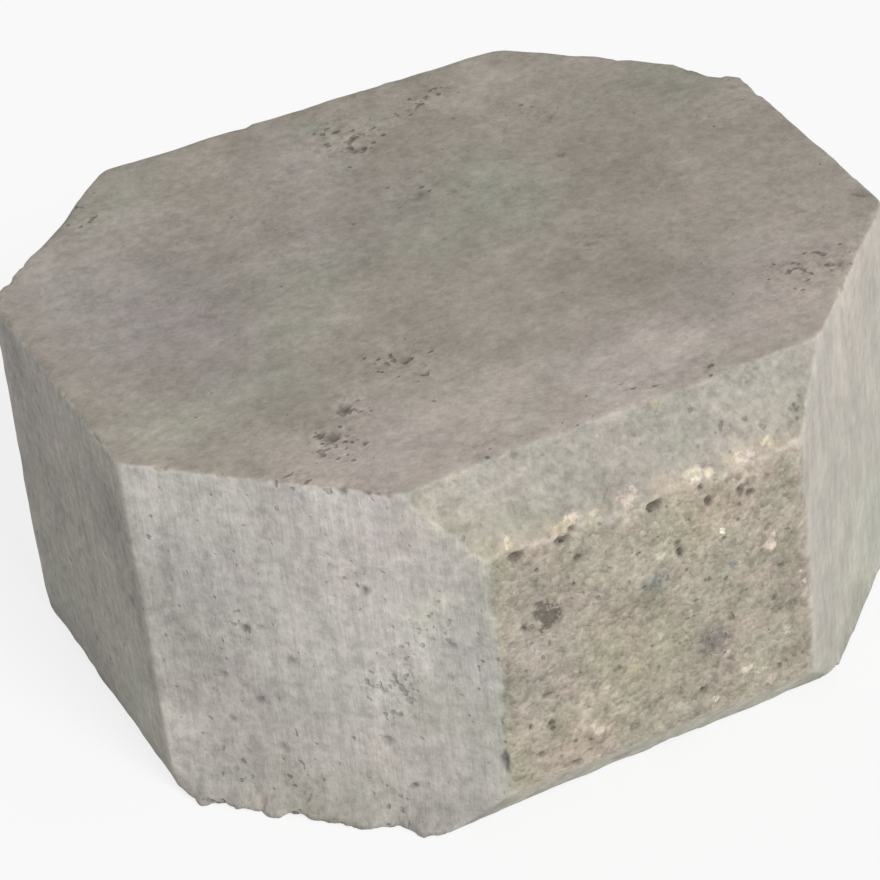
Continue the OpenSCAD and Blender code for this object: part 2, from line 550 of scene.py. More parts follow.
# %% Rim of crumbs at the foot
RIM = [
    (-43.0, 2.6),
    (-38.5, 4.4),
    (-36.5, 9.6),
    (-33.5, 5.0),
    (-30.0, 4.6),
    (-26.5, 6.4),
    (-23.5, 5.0),
    (-20.5, 4.8),
    (-18.0, 8.6),
    (-15.5, 8.8),
    (-13.0, 4.0),
    (-10.0, 3.8),
    (-7.0, 6.2),
    (-3.0, 5.6),
    (2.0, 5.8),
    (8.0, 7.6),
    (12.0, 5.4),
    (15.0, 1.6),
    (18.5, 3.2),
    (22.5, 6.2),
    (25.0, 4.8),
    (30.0, 3.0),
]


def foot_rim(points):
    """The push, read off the list between its places * crumbly noise * exp(-(level / 3.2)^2)."""
    places, pushes = zip(*RIM)
    push = np.interp(points @ side_along[FRONT_LEFT], places, pushes)
    crumbly = 1 + 0.18 * clouds(points, 2.2, 2, 351, 0.7)
    return push * crumbly * np.exp(-((points[:, 2] / 3.2) ** 2))


print(len(RIM), "places of the rim")

# %% [markdown]
# The moulded faces only bow a little, and the struck top is a touch rougher. Three faces are a little off
# as well: the back left side splays out towards its foot, the foot of the left end is drawn in, and the
# lower bevels stand out, the front one following the torn face above it. One softness rounds the arrises,
# more where they are worn.

# %% Relief of every face
BACK_LEFT_SPLAY = 1.8
LEFT_FOOT_DRAWN_IN = 1.0
FOOT_BEVEL_PROUD = 1.0
SHARP_ARRIS, WORN_ARRIS = 0.25, 0.85

relief = np.zeros((len(net), len(plane_normal)))
for side in TORN_SIDES:
    relief[:, side] = torn_relief(net, side, 11 + 36 * side)
bowed = 0.22 * clouds(net, 46, 3, 301)
dragged = 0.05 * clouds(net * [1, 1, 0.15], 2.6, 2, 307)
relief[:, MOULDED] = (bowed + dragged)[:, None]
relief[:, FRONT_LEFT] += foot_rim(net)
relief[:, BACK_LEFT] += BACK_LEFT_SPLAY * (1 - net[:, 2] / block_height)
relief[:, LEFT] -= (LEFT_FOOT_DRAWN_IN + 0.3 * clouds(net, 9, 2, 353)) * np.exp(-((net[:, 2] / 6) ** 2))
relief[:, TOP] = 0.28 * clouds(net, 44, 3, 311) + 0.10 * clouds(net, 4.5, 3, 313)
relief[:, BED] = -0.25 - 0.2 * clouds(net, 30, 3, 317)
relief[:, BEVELS] = (0.22 * clouds(net, 14, 5, 331, 0.6))[:, None]
relief[:, [FRONT_FOOT_BEVEL, BACK_FOOT_BEVEL]] += FOOT_BEVEL_PROUD
relief[:, FRONT_FOOT_BEVEL] += 0.3 * (relief[:, FRONT] - relief[:, FRONT].mean())
arris_softness = SHARP_ARRIS + (WORN_ARRIS - SHARP_ARRIS) * np.clip(0.5 + 0.6 * clouds(net, 11, 3, 341), 0, 1)
surface = settle(net, outward, relief, arris_softness)
print("torn face relief from", relief[:, FRONT].min().round(2), "to", relief[:, FRONT].max().round(2), "mm")

# %% [markdown]
# ## Chips
#
# A knock takes a shell-shaped flake off an arris. That is a ball pressed into the edge, so every point that
# lies in the ball slides back along its line until it is on the ball's skin: the far root of a quadratic.
# The balls are a little lumpy, to give the flake a torn rim. The large ones are the same as in the CAD
# model. The small ones are scattered along every arris, apart from the one where the rim of crumbs stands.


# %% Chips
def on_side(side, along, level):
    """A point on a side: so far along it from its middle, at that level."""
    return side_normal[side] * side_reach[side] + side_along[side] * along + np.array([0, 0, level])


def arris_direction(side, at_top):
    """The way out of a long arris: halfway between its side and straight up or down."""
    way = side_normal[side] + np.array([0, 0, 1 if at_top else -1])
    return way / np.linalg.norm(way)


def knock(points, centre, radius, seed):
    """Presses a lumpy ball into the surface. Returns the new points and how far each one went in."""
    lumpy = radius * (1 + 0.05 * clouds(points, 0.5 * radius + 0.8, 2, seed))
    gap = points - centre
    along = (gap * outward).sum(axis=1)
    inside = lumpy**2 - (gap**2).sum(axis=1)
    depth = np.where(inside > 0, along + np.sqrt(np.maximum(along**2 + inside, 0)), 0)
    return points - depth[:, None] * outward, depth


corner_reach = block_width / 2 / math.cos(math.pi / 8)
LEFT_CORNER_ANGLE = math.radians(202.5)
corner_way = np.array([math.cos(LEFT_CORNER_ANGLE), math.sin(LEFT_CORNER_ANGLE), 0])
# Each chip: its place, the way out of the block there, its depth, and the radius of the ball.
LARGE_CHIPS = [
    (on_side(BACK_RIGHT, -39, block_height), arris_direction(BACK_RIGHT, True), 2.6, 24),
    (on_side(BACK_LEFT, 3, block_height), arris_direction(BACK_LEFT, True), 2.3, 60),
    (corner_way * corner_reach, (corner_way - [0, 0, 1]) / math.sqrt(2), 1.8, 9),
    (on_side(FRONT, 54, 0) - 13 * side_normal[FRONT], arris_direction(FRONT, False), 2.2, 7),
    (on_side(FRONT_RIGHT, 3, 0), arris_direction(FRONT_RIGHT, False), 1.2, 9),
]
print(len(LARGE_CHIPS), "large chips")

# %% Small chips
random = np.random.default_rng(7)
small_chips = []
for side in range(8):
    for at_top in (True, False):
        on_bevel = side in TORN_SIDES
        way = arris_direction(side, at_top)
        if side == FRONT_LEFT and not at_top:
            continue
        for _ in range(4 if on_bevel else 7):
            place = on_side(side, random.uniform(-42, 42), block_height if at_top else 0)
            place -= side_normal[side] * (bevel_depth if on_bevel else 0)
            radius = random.uniform(1.6, 6.0)
            small_chips.append((place, way, random.uniform(0.12, 0.2) * radius, radius))

chip_depth = np.zeros(len(net))
for number, (place, way, depth, radius) in enumerate(LARGE_CHIPS + small_chips):
    surface, gone = knock(surface, place + way * (radius - depth), radius, 401 + number)
    chip_depth += gone
print(len(small_chips), "small chips, and the deepest of all goes in", chip_depth.max().round(1), "mm")

# %% [markdown]
# ## Stones and hollows that stand out
#
# Most of the gravel can be random, but a few stones and hollows give this face its character, and they are
# placed one by one. Each is an ellipse whose edge is shaken by noise: its place along the face and up from
# the bed, then half its width and half its height, all in millimetres. A stone keeps its own colour, and a
# hollow is pressed in by its last number, so that it falls into shade.
# The stones along the lip, 84 to 87 mm up, are pale broken stones and partly painted highlight where the lip
# catches the light.

# %% Named stones
STONES_AND_LIP_HIGHLIGHTS = [
    (-29.5, 62.5, 3.7, 4.3, (0.125, 0.116, 0.096)),
    (-34.5, 60.0, 1.6, 1.3, (0.240, 0.215, 0.170)),
    (-1.0, 60.0, 4.4, 2.6, (0.300, 0.290, 0.262)),
    (13.3, 36.4, 4.2, 3.9, (0.200, 0.182, 0.168)),
    (31.5, 58.3, 2.0, 2.8, (0.610, 0.530, 0.430)),
    (18.4, 67.0, 0.9, 1.2, (0.800, 0.760, 0.640)),
    (13.0, 18.8, 1.3, 1.1, (0.600, 0.540, 0.450)),
    (39.8, 46.0, 0.8, 0.8, (0.600, 0.570, 0.510)),
    (40.2, 42.6, 0.7, 1.0, (0.620, 0.565, 0.520)),
    (-19.5, 22.8, 1.9, 1.5, (0.500, 0.460, 0.370)),
    (22.0, 23.8, 2.2, 0.8, (0.560, 0.500, 0.410)),
    (25.8, 21.4, 1.8, 0.8, (0.560, 0.490, 0.410)),
    (29.5, 17.6, 1.5, 1.4, (0.530, 0.460, 0.390)),
    # along the lip: pale broken stones, partly painted highlight
    (-5.5, 85.4, 2.6, 1.8, (0.530, 0.450, 0.390)),
    (-3.5, 86.6, 1.5, 1.4, (0.620, 0.540, 0.465)),
    (12.4, 85.0, 2.6, 1.5, (0.500, 0.460, 0.375)),
    (16.5, 84.3, 1.4, 1.2, (0.520, 0.470, 0.370)),
    (25.5, 84.6, 4.2, 1.2, (0.480, 0.425, 0.355)),
    (33.5, 85.6, 1.8, 1.0, (0.480, 0.450, 0.350)),
    (-24.5, 84.0, 3.2, 1.1, (0.480, 0.420, 0.320)),
    (-20.5, 85.3, 1.9, 1.2, (0.530, 0.460, 0.375)),
    (-37.0, 85.4, 1.1, 1.1, (0.480, 0.450, 0.350)),
    (-15.0, 84.6, 1.8, 0.9, (0.450, 0.420, 0.330)),
    (20.8, 56.5, 2.2, 1.2, (0.300, 0.300, 0.280)),
    (36.0, 37.5, 1.4, 2.2, (0.255, 0.245, 0.190)),
    (-8.0, 36.5, 2.6, 1.8, (0.420, 0.385, 0.270)),
]
print(len(STONES_AND_LIP_HIGHLIGHTS), "named stones")

# %% Named hollows
HOLLOWS = [
    (-36.0, 81.6, 2.3, 1.6, 1.5),
    (-23.8, 81.8, 2.6, 0.9, 1.3),
    (-20.8, 83.4, 1.6, 0.9, 0.8),
    (1.0, 81.2, 2.5, 1.3, 1.7),
    (13.4, 81.6, 0.9, 1.0, 0.9),
    (15.2, 76.8, 1.1, 1.8, 1.0),
    (24.0, 76.5, 1.4, 1.9, 0.5),
    (26.8, 74.8, 1.6, 1.2, 0.5),
    (-20.4, 75.2, 1.6, 1.1, 0.7),
    (6.8, 65.5, 1.5, 1.8, 0.6),
    (6.2, 68.4, 1.0, 1.2, 0.5),
    (9.6, 22.2, 1.2, 1.3, 1.3),
    (18.6, 64.8, 0.9, 0.9, 0.6),
    (-36.0, 61.0, 1.1, 1.1, 0.6),
    (-32.0, 40.0, 1.9, 0.7, 0.6),
    (-32.0, 31.6, 1.4, 1.0, 0.6),
    (-37.6, 32.8, 0.7, 1.1, 0.6),
    (-35.4, 23.0, 1.1, 1.0, 0.6),
    (-26.5, 16.6, 1.8, 0.8, 0.5),
    (34.0, 50.2, 1.6, 0.8, 0.5),
    (-44.6, 24.0, 0.7, 5.0, 0.8),
]
print(len(HOLLOWS), "named hollows")

# %% Set the stones and press the hollows
FAR_OUTSIDE = -9.0
EDGE_SHAKE = 0.16
front_along = net @ side_along[FRONT]
ragged = np.stack([value_noise(net, 1.5, 501), value_noise(net, 1.5, 503)], axis=1)
on_front = net @ side_normal[FRONT] > side_reach[FRONT] - bevel_depth / 4


def ellipse_depth(along, level, half_width, half_height):
    """1 in the middle of a ragged ellipse on the torn face, 0 on its edge, negative outside it."""
    across = (front_along - along) / half_width + EDGE_SHAKE * ragged[:, 0]
    up = (net[:, 2] - level) / half_height + EDGE_SHAKE * ragged[:, 1]
    return np.where(on_front, 1 - np.hypot(across, up), FAR_OUTSIDE)


stone_depth = np.full(len(net), FAR_OUTSIDE)
stone_and_highlight_tone = np.full((len(net), 3), 0.4)
for along, level, half_width, half_height, tone in STONES_AND_LIP_HIGHLIGHTS:
    depth = ellipse_depth(along, level, half_width, half_height)
    stone_and_highlight_tone[depth > stone_depth] = tone
    stone_depth = np.maximum(stone_depth, depth)
hollow = np.zeros(len(net))
for along, level, half_width, half_height, drop in HOLLOWS:
    dip = np.clip(2.4 * ellipse_depth(along, level, half_width, half_height), 0, 1)
    surface -= (drop * dip)[:, None] * outward
    hollow = np.maximum(hollow, dip)
print("points inside a stone:", int((stone_depth > 0).sum()), "and inside a hollow:", int((hollow > 0).sum()))

# %% [markdown]
# ## Air pits
#
# Bubbles of air in the mix leave small round dips. The larger ones are in the mesh, in clusters where the
# mix was dry, and are listed too: where, then the radius and the depth, in millimetres. Pinholes
# are too many and too small for that, and the material makes them.

# %% Places of the air pits
PITS_ON_SIDES = {
    FRONT_LEFT: [
        (14.0, 71.0, 1.6, 0.9),
        (35.2, 57.5, 1.4, 0.8),
        (29.5, 58.6, 1.0, 0.6),
        (-18.5, 55.0, 1.8, 0.8),
        (-15.0, 56.0, 1.2, 0.6),
        (-7.5, 47.0, 1.6, 0.7),
        (-26.0, 40.0, 1.5, 0.7),
        (-26.0, 26.5, 1.3, 0.7),
        (-17.5, 34.0, 1.3, 0.7),
        (15.0, 26.0, 1.8, 0.7),
        (20.3, 13.2, 1.0, 0.8),
        (-13.5, 20.0, 1.8, 0.6),
        (6.5, 77.0, 1.2, 0.5),
        (26.0, 33.0, 0.9, 0.5),
        (33.0, 48.0, 1.0, 0.5),
        (45.0, 24.0, 0.9, 0.6),
    ],
    LEFT: [
        (34.0, 54.5, 1.8, 0.8),
        (-2.0, 48.0, 1.4, 0.5),
        (9.0, 24.5, 1.3, 0.5),
    ],
}
PITS_ON_TOP = [
    (-57.0, -62.5, 2.6, 1.3),
    (-59.5, -64.5, 1.3, 1.0),
    (-49.8, -52.5, 1.9, 1.1),
    (-52.0, -61.0, 1.0, 0.8),
    (4.0, 62.0, 2.2, 0.9),
    (8.5, 28.5, 1.5, 0.8),
    (16.5, 26.0, 1.2, 0.6),
    (48.0, 27.5, 1.5, 0.8),
    (55.0, 47.0, 1.2, 0.7),
    (80.5, -63.0, 1.6, 0.8),
    (79.0, -58.0, 1.2, 0.6),
    (72.0, -61.0, 1.0, 0.5),
    (34.0, -19.0, 1.3, 0.7),
    (-28.5, -41.0, 1.4, 0.8),
    (20.0, -96.0, 1.4, 0.8),
    (-24.0, -92.5, 1.3, 0.7),
    (-31.5, 40.5, 1.2, 0.5),
    (84.0, -35.0, 1.1, 0.5),
    (102.5, -36.5, 1.8, 1.3),
    (-64.3, -83.5, 1.4, 1.0),
    (-59.8, -88.0, 1.3, 1.0),
    (-58.0, -89.8, 1.2, 1.0),
    (-56.2, -91.6, 1.2, 0.8),
]
print(sum(map(len, PITS_ON_SIDES.values())), "pits on the sides and", len(PITS_ON_TOP), "on the top")


# %% Press the air pits
def top_at(x, y):
    """A point on the top."""
    return np.array([x, y, block_height])


def pit_shape(centre, radius, drop):
    """A ragged dip: full depth inside a third of its radius, nothing outside it."""
    away = np.linalg.norm(net - centre, axis=1) / radius + 0.45 * ragged[:, 0]
    return drop * np.clip(1.5 * (1 - away), 0, 1)


pit_depth = np.zeros(len(net))
for side, pits in PITS_ON_SIDES.items():
    for along, level, radius, drop in pits:
        pit_depth = np.maximum(pit_depth, pit_shape(on_side(side, along, level), radius, drop))
for x, y, radius, drop in PITS_ON_TOP:
    pit_depth = np.maximum(pit_depth, pit_shape(top_at(x, y), radius, drop))
surface = surface - pit_depth[:, None] * outward
hollow = np.maximum(hollow, np.clip(pit_depth / 1.2, 0, 1))
surface[:, 2] = np.maximum(surface[:, 2], 0)
print("deepest pit", pit_depth.max().round(1), "mm, lowest point", surface[:, 2].min().round(1), "mm")

# %% [markdown]
# ## The mesh
#
# The net was numbered so that its faces are plain sums: each point of a ring is joined to its neighbour and
# to the two points above. The top's faces come from the grid of point numbers. Arrays are handed to the
# mesh whole.


# %% Build the mesh
def ring_faces():
    """Four-sided faces between each ring and the one above, anticlockwise seen from outside."""
    number = np.arange(ring_count * column_count).reshape(ring_count, column_count)
    ahead = np.roll(number, -1, axis=1)
    return np.stack([number[:-1], ahead[:-1], ahead[1:], number[1:]], axis=2).reshape(-1, 4)


def grid_faces(number):
    """Four-sided faces between the places of a grid of point numbers."""
    corners = [number[:-1, :-1], number[1:, :-1], number[1:, 1:], number[:-1, 1:]]
    return np.stack(corners, axis=2).reshape(-1, 4)


def bed_fan():
    """Triangles from the middle of the bed to its smallest ring."""
    around = np.arange(column_count)
    middle = np.full(column_count, len(net) - 1)
    return np.stack([middle, np.roll(around, -1), around], axis=1)


quads = np.concatenate([ring_faces(), grid_faces(top_number)])
fan = bed_fan()
mesh = bpy.data.meshes.new("concrete_block")
mesh.vertices.add(len(surface))
mesh.vertices.foreach_set("co", (surface * MM).astype(np.float32).ravel())
mesh.loops.add(quads.size + fan.size)
mesh.loops.foreach_set("vertex_index", np.concatenate([quads.ravel(), fan.ravel()]).astype(np.int32))
mesh.polygons.add(len(quads) + len(fan))
starts = np.concatenate([np.arange(len(quads)) * 4, quads.size + np.arange(len(fan)) * 3])
mesh.polygons.foreach_set("loop_start", starts.astype(np.int32))
mesh.update(calc_edges=True)
mesh.polygons.foreach_set("use_smooth", np.ones(len(mesh.polygons), bool))
mesh.validate()
block = bpy.data.objects.new("concrete_block", mesh)
bpy.context.scene.collection.objects.link(block)
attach(block, "root")
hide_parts("cap_block")
print("concrete_block has", 2 * len(quads) + len(fan), "triangles")

# %% [markdown]
# ## What the material needs to know
#
# The material has to tell the top from a moulded side, a bevel and the torn face, and to know where an
# arris, a chip or a hollow is. Such facts follow from the geometry, so they are stored at the points of the
# mesh as attributes: `finish` holds the shares of top, torn and bevel in its three channels,
# `wear` rises towards an arris, and so on.
#
# Which finish a point has is asked of its distances to the planes again, because the largest one is its own
# face. Each distance is first shaken by noise, so that two finishes meet in a ragged line. Beside the torn
# front the skin of the two moulded sides gives way on purpose, high up at the right arris and near the foot
# at the left one, where the break ran into them. The bevel under the front is mostly broken away, so its
# skin is set back.

# %% Finish, arris wear and highlight, and damage
ARRIS_REACH = 5
LEFT_ARRIS_LEVELS = (20, 35, 50, 70)
LEFT_ARRIS_SETBACK = (-1.3, -0.6, -0.4, -0.1)
FOOT_BEVEL_SETBACK = 1.2
distances = surface @ plane_normal.T - plane_reach - relief
near_front = np.clip(1 + distances[:, FRONT] / ARRIS_REACH, 0, 1)
near_right_arris, near_left_arris = near_front * np.clip(
    1 + distances[:, [FRONT_RIGHT, FRONT_LEFT]].T / ARRIS_REACH, 0, 1
)
skin = distances + 0.25 * clouds(net, 2.4, 3, 361)[:, None] * (np.arange(len(plane_normal)) % 2)
skin[:, TOP] += 0.45 * clouds(net, 3.4, 4, 363, 0.7)
skin[:, FRONT_RIGHT] -= near_right_arris * np.exp(-(((net[:, 2] - 78) / 13) ** 2))
skin[:, FRONT_LEFT] += near_left_arris * np.interp(net[:, 2], LEFT_ARRIS_LEVELS, LEFT_ARRIS_SETBACK)
skin[:, FRONT_LEFT] += 0.35 * near_left_arris * clouds(net, 5, 3, 365, 0.65)
skin[:, FRONT_FOOT_BEVEL] -= FOOT_BEVEL_SETBACK
_, share = soft_largest(skin, np.full(len(net), 0.8))
finish = np.stack([share[:, TOP], share[:, TORN_SIDES].sum(axis=1), share[:, BEVELS].sum(axis=1)], axis=1)
ordered = np.sort(distances, axis=1)
arris_distance = ordered[:, -1] - ordered[:, -2]
# rises towards an arris; the material pales arrises by it, partly as wear and partly as painted highlight
wear = np.exp(-arris_distance / 1.3)
chipped = 1 - np.exp(-chip_depth / 0.35)
print("points with an arris nearby:", int((wear > 0.5).sum()))

# %% [markdown]
# ## Stains
#
# A block that has lain outdoors is never one colour. Random clouds would give it patches, but not where
# this block has them, so the stains are placed one by one: each is a soft blob at a place on a face, with its
# size in millimetres and its tone. The tone multiplies the concrete: a number under 1 dulls it, one over 1
# bleaches it, and three numbers tint it in red, green and blue. Noise bends the rims, so no blob looks
# round.

# %% Stains on the top
GREENISH = (0.968, 1.020, 0.995)
BLUISH = (0.985, 0.985, 1.03)
OLIVE = (0.93, 0.93, 0.895)
SLATE = (0.88, 0.88, 0.905)
ROSY = (1.03, 1.00, 1.00)
MAUVE = (1.00, 0.985, 1.03)
# Each stain: x, y, size, tone.
STAINS_ON_TOP = [
    # bleached along the front edge
    (-70, -70, 12, 1.12),
    (-45, -75, 24, 1.22),
    (-8, -80, 26, 1.22),
    (30, -80, 24, 1.22),
    (66, -74, 18, 1.22),
    (33, -69, 9, 1.18),
    (-42, -76, 26, MAUVE),
    (14, -76, 26, MAUVE),
    (58, -62, 24, MAUVE),
    # blue grey over the left half
    (-60, 15, 30, BLUISH),
    (-78, 48, 26, BLUISH),
    (-92, 20, 24, BLUISH),
    (-76, -12, 24, BLUISH),
    (-15, 35, 24, BLUISH),
    (-15, 68, 14, BLUISH),
    # a greenish band from the middle to the left corner, and greenish corners
    (25, 30, 15, GREENISH),
    (25, 12, 15, GREENISH),
    (2, 8, 12, GREENISH),
    (-30, 8, 12, GREENISH),
    (-45, -10, 12, GREENISH),
    (-62, -32, 13, GREENISH),
    (-86, -40, 12, (1.06, 1.11, 1.08)),
    (-60, 74, 14, GREENISH),
    (90, 46, 14, GREENISH),
    (0, 78, 9, GREENISH),
    # dull
    (10, 42, 26, 0.91),
    (60, 34, 24, 0.91),
    (58, 10, 20, 0.91),
    (-48, 40, 20, 0.91),
    (-60, 12, 18, 0.91),
    (-12, 6, 20, 0.91),
    (20, 0, 12, 0.91),
    (30, -30, 18, 0.91),
    (-24, -24, 15, 0.91),
    (42, -55, 14, 0.90),
    (-60, -48, 12, 0.91),
    (-80, -25, 10, 0.92),
    (-14, -56, 9, 0.91),
    (-12, 88, 16, 0.91),
    (28, 88, 15, 0.91),
    (86, 46, 16, 0.91),
    (98, 0, 12, 0.91),
    # pale
    (-88, 42, 20, 1.12),
    (-56, 56, 15, 1.09),
    (-14, 66, 12, 1.10),
    (48, 75, 14, 1.09),
    (-34, -12, 14, 1.09),
    (-92, -40, 14, 1.09),
    (-24, -62, 14, 1.09),
    (74, -34, 13, 1.09),
    (88, -44, 14, 1.09),
    (78, -64, 9, 1.11),
]
print(len(STAINS_ON_TOP), "stains on the top")

# %% Stains on the sides and the front bevel
# Each stain: place along the face, level, size, tone.
STAINS_ON_BEVEL = [
    (-45, 97, 9, 1.05),
    (44, 90, 8, 1.10),
    (-25, 97, 7, 0.91),
    (27, 97, 7, 0.90),
    (32, 89, 8, 1.07),
]
STAINS_AND_PAINTED_SHADE_ON_SIDES = {
    FRONT: [
        (-40, 92, 16, (1.10, 1.08, 1.03)),
        (34, 90, 8, (1.12, 1.10, 1.05)),
        (14, 75, 11, (1.18, 1.17, 1.12)),
        (-21, 25, 11, (1.18, 1.17, 1.15)),
        (-38, 68, 9, 1.13),
        (-38, 46, 9, 1.13),
        (20, 45, 9, 1.09),
        (32, 30, 10, 1.09),
        (0, 70, 7, 1.09),
        (-36, 46, 14, BLUISH),
        (-36, 74, 10, BLUISH),
        (-6, 40, 13, (0.99, 1.00, 0.95)),
        (14, 97, 10, GREENISH),
        (-28, 94, 9, GREENISH),
        (5, 95, 14, ROSY),
        (26, 80, 12, ROSY),
        (-32, 22, 12, ROSY),
        (-46, 5, 10, 0.70),
        (-12, 92, 10, 0.91),
        # painted shade around the hollow at 1 mm along, 81 mm up
        (0, 80, 6, 0.88),
        (-12, 68, 8, 0.91),
        (-22, 60, 7, 0.91),
        (33, 45, 8, 0.89),
        (0, 32, 10, 0.87),
    ],
    FRONT_RIGHT: [
        (4, 12, 24, GREENISH),
        (4, 92, 20, ROSY),
        (0, 3, 14, OLIVE),
        (-14, 93, 9, 0.90),
        (-10, 7, 9, 0.88),
        (-32, 3, 10, (0.80, 0.82, 0.78)),
    ],
    LEFT: [
        (30, 74, 13, 0.83),
        (-34, 90, 12, 0.88),
        (-22, 56, 14, 0.90),
        (-42, 50, 9, 0.91),
        (0, 2, 14, 0.91),
        (30, 26, 16, 1.09),
        (20, 16, 14, GREENISH),
        (-34, 16, 12, GREENISH),
        (-10, 88, 12, ROSY),
    ],
    FRONT_LEFT: [
        (13, 60, 16, 1.10),
        (12, 80, 12, 1.09),
        (-24, 90, 10, 1.09),
        (27, 58, 10, 1.15),
        (24, 41, 7, 1.08),
        (32, 65, 6, (1.14, 1.16, 1.10)),
        (4, 96, 7, 1.11),
        (15, 84, 20, ROSY),
        (20, 20, 16, ROSY),
        (-30, 28, 20, ROSY),
        (-28, 69, 9, SLATE),
        (-36, 62, 10, 0.86),
        (-34, 48, 13, 0.86),
        (-26, 38, 13, 0.90),
        (-42, 33, 8, 0.82),
        (-5, 36, 12, 0.91),
        (-16, 19, 12, 0.90),
        (-30, 10, 10, 0.90),
        (-44, 7, 8, 0.89),
        (-2, 92, 10, 0.91),
        (30, 92, 8, 0.89),
        (33, 40, 8, (0.88, 0.89, 0.85)),
        (0, 8, 12, OLIVE),
        (-14, 8, 10, OLIVE),
        (25, 3, 9, 0.84),
        (11, 99, 3, 0.81),
        (22, 100, 3, 0.83),
    ],
}
print(sum(map(len, STAINS_AND_PAINTED_SHADE_ON_SIDES.values())), "stains on the sides")

# %% Paint the stains
bend = np.stack([clouds(net, 16, 3, 601 + axis) for axis in range(3)], axis=1)


def on_bevel(along, level):
    """A point on the bevel over the front torn face."""
    climbed = 1 - (block_height - level) / bevel_height
    return on_side(FRONT, along, level) - climbed * bevel_depth * side_normal[FRONT]


def blob(place, size):
    """1 in the middle of a soft blob of that size, falling to 0 outside it, its rim bent by noise."""
    return np.exp(-(((net + 6 * bend - place) ** 2).sum(axis=1) / size**2) ** 1.5)


stains = [(top_at(x, y), size, tone) for x, y, size, tone in STAINS_ON_TOP]
stains += [(on_bevel(along, level), size, tone) for along, level, size, tone in STAINS_ON_BEVEL]
for side, places in STAINS_AND_PAINTED_SHADE_ON_SIDES.items():
    stains += [(on_side(side, along, level), size, tone) for along, level, size, tone in places]
# the stains, and after them the painted shade and light of faces, a seam, the foot and the lip, multiply into
# this
tint_and_painted_shade_light = np.ones((len(net), 3))
for place, size, tone in stains:
    tint_and_painted_shade_light *= 1 + blob(place, size)[:, None] * (np.array(tone) - 1)
print(len(stains), "stains")

# %% [markdown]
# Some tones belong to a whole face or an edge instead of a place. The left end is darkened all over as
# painted shade, and the bevel under the torn front, which faces down, is lightened as painted light. A
# *seam* is a line where two planes meet: it is darker where the front left side meets the torn face and its
# bevel, and paler where it meets the left end, as a painted highlight along that arris. The foot of that
# side is darkened as painted shade. The *lip* is the edge between the upper bevel and the torn face: it is
# lightened as a painted highlight where the broken edge catches the light.

# %% Painted shade and light on whole faces, and a tint
FACE_TINTS_AND_PAINTED_SHADE_LIGHT = [
    # painted shade: the left end is darkened all over
    (LEFT, (0.825, 0.82, 0.80)),
    (FRONT_RIGHT, (0.985, 0.972, 0.935)),
    # painted light: the bevel under the front faces down and is lightened as if lit
    (FRONT_FOOT_BEVEL, (1.38, 1.42, 1.40)),
]
for plane, tone in FACE_TINTS_AND_PAINTED_SHADE_LIGHT:
    tint_and_painted_shade_light *= 1 + share[:, plane, None] * (np.array(tone) - 1)
print(len(FACE_TINTS_AND_PAINTED_SHADE_LIGHT), "faces with a tone of their own")

# %% Seams, one of them a painted highlight, and painted shade at the foot
# Each seam: the two planes that meet in it, its width, its tone.
SEAMS = [
    (FRONT, FRONT_LEFT, 3.0, (0.87, 0.90, 0.84)),
    (FRONT_TOP_BEVEL, FRONT_LEFT, 2.2, (0.86, 0.88, 0.84)),
    # painted highlight along the arris between the left end and the front left side
    (LEFT, FRONT_LEFT, 1.0, (1.14, 1.13, 1.11)),
]
for first, second, width, tone in SEAMS:
    between = np.minimum(distances[:, first], distances[:, second])
    seam = np.exp(-((between / width) ** 2)) * np.clip(0.75 + 0.5 * clouds(net, 8, 2, 607), 0, 1)
    tint_and_painted_shade_light *= 1 + seam[:, None] * (np.array(tone) - 1)

# painted shade: the foot of the front left side is darkened near the floor
FOOT_PAINTED_SHADE = np.array([0.70, 0.69, 0.68])
FOOT_HEIGHT = 5
near_foot = np.exp(-((net[:, 2] / FOOT_HEIGHT) ** 2))
foot = share[:, FRONT_LEFT] * near_foot
tint_and_painted_shade_light *= 1 + foot[:, None] * (FOOT_PAINTED_SHADE - 1)
print(len(SEAMS), "seams and one foot")

# %% Painted highlight on the lip over the torn face
# painted highlight: a pale band along the lip, where the broken edge catches the light
LIP_PAINTED_HIGHLIGHT = np.array([1.14, 1.10, 1.04])
lip_level = block_height - bevel_height + 1.4 + 0.9 * clouds(net, 7, 2, 611)
lip = np.exp(-(((net[:, 2] - lip_level) / 1.8) ** 2)) * np.clip(0.55 + 0.8 * clouds(net, 6, 3, 613), 0, 1)
tint_and_painted_shade_light *= 1 + np.where(on_front, lip, 0)[:, None] * (LIP_PAINTED_HIGHLIGHT - 1)
print("palest point of the lip", tint_and_painted_shade_light[:, 0].max().round(2))

# %% [markdown]
# Where the mix was dry the paste stays open, and the material makes pinholes there. `pitted` says how open
# it is: some everywhere on the faces in view, more along the foot, and most at the places listed here.

